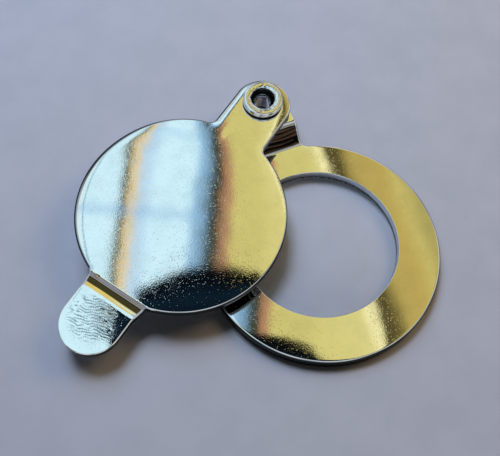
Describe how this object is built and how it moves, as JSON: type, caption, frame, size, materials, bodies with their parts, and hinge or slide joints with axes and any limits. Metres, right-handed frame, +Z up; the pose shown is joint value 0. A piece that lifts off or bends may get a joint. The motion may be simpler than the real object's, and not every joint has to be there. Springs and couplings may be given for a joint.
{
  "type": "folding loupe",
  "caption": "Jewelers loupe: a lens in a flat chromed ring with a round metal cover and thumb tab that swings over it on a hollow rivet.",
  "frame": {"origin": "on the table, under the middle of the whole loupe's box as it lies open", "axes": "+Z up, away from the table; +Y from the ring towards the rivet; +X to the right"},
  "size_m": [0.0496, 0.0398, 0.0071],
  "materials": {
    "ring_chrome": "mirror-bright plate on a stamped and polished blank",
    "cover_chrome": "mirror-bright plate with a fine orange-peel grain",
    "rivet_chrome": "bright plate, worn on the roll",
    "spring_steel": "plain spring steel",
    "lens_glass": "clear polished optical glass"
  },
  "bodies": {
    "ring_assembly": {"lens_ring": "ring_chrome", "lens": "lens_glass", "lens_snap_ring": "spring_steel", "ear_washer": "spring_steel", "hollow_rivet": "rivet_chrome"},
    "cover": {"cover_plate": "cover_chrome"}
  },
  "joints": [
    {"name": "cover_swing", "type": "hinge", "parent": "ring_assembly", "child": "cover", "pos_m": [0.00945, 0.01611, 0.00465], "axis": [0, -0.0523, 0.9986], "continuous": true}
  ]
}
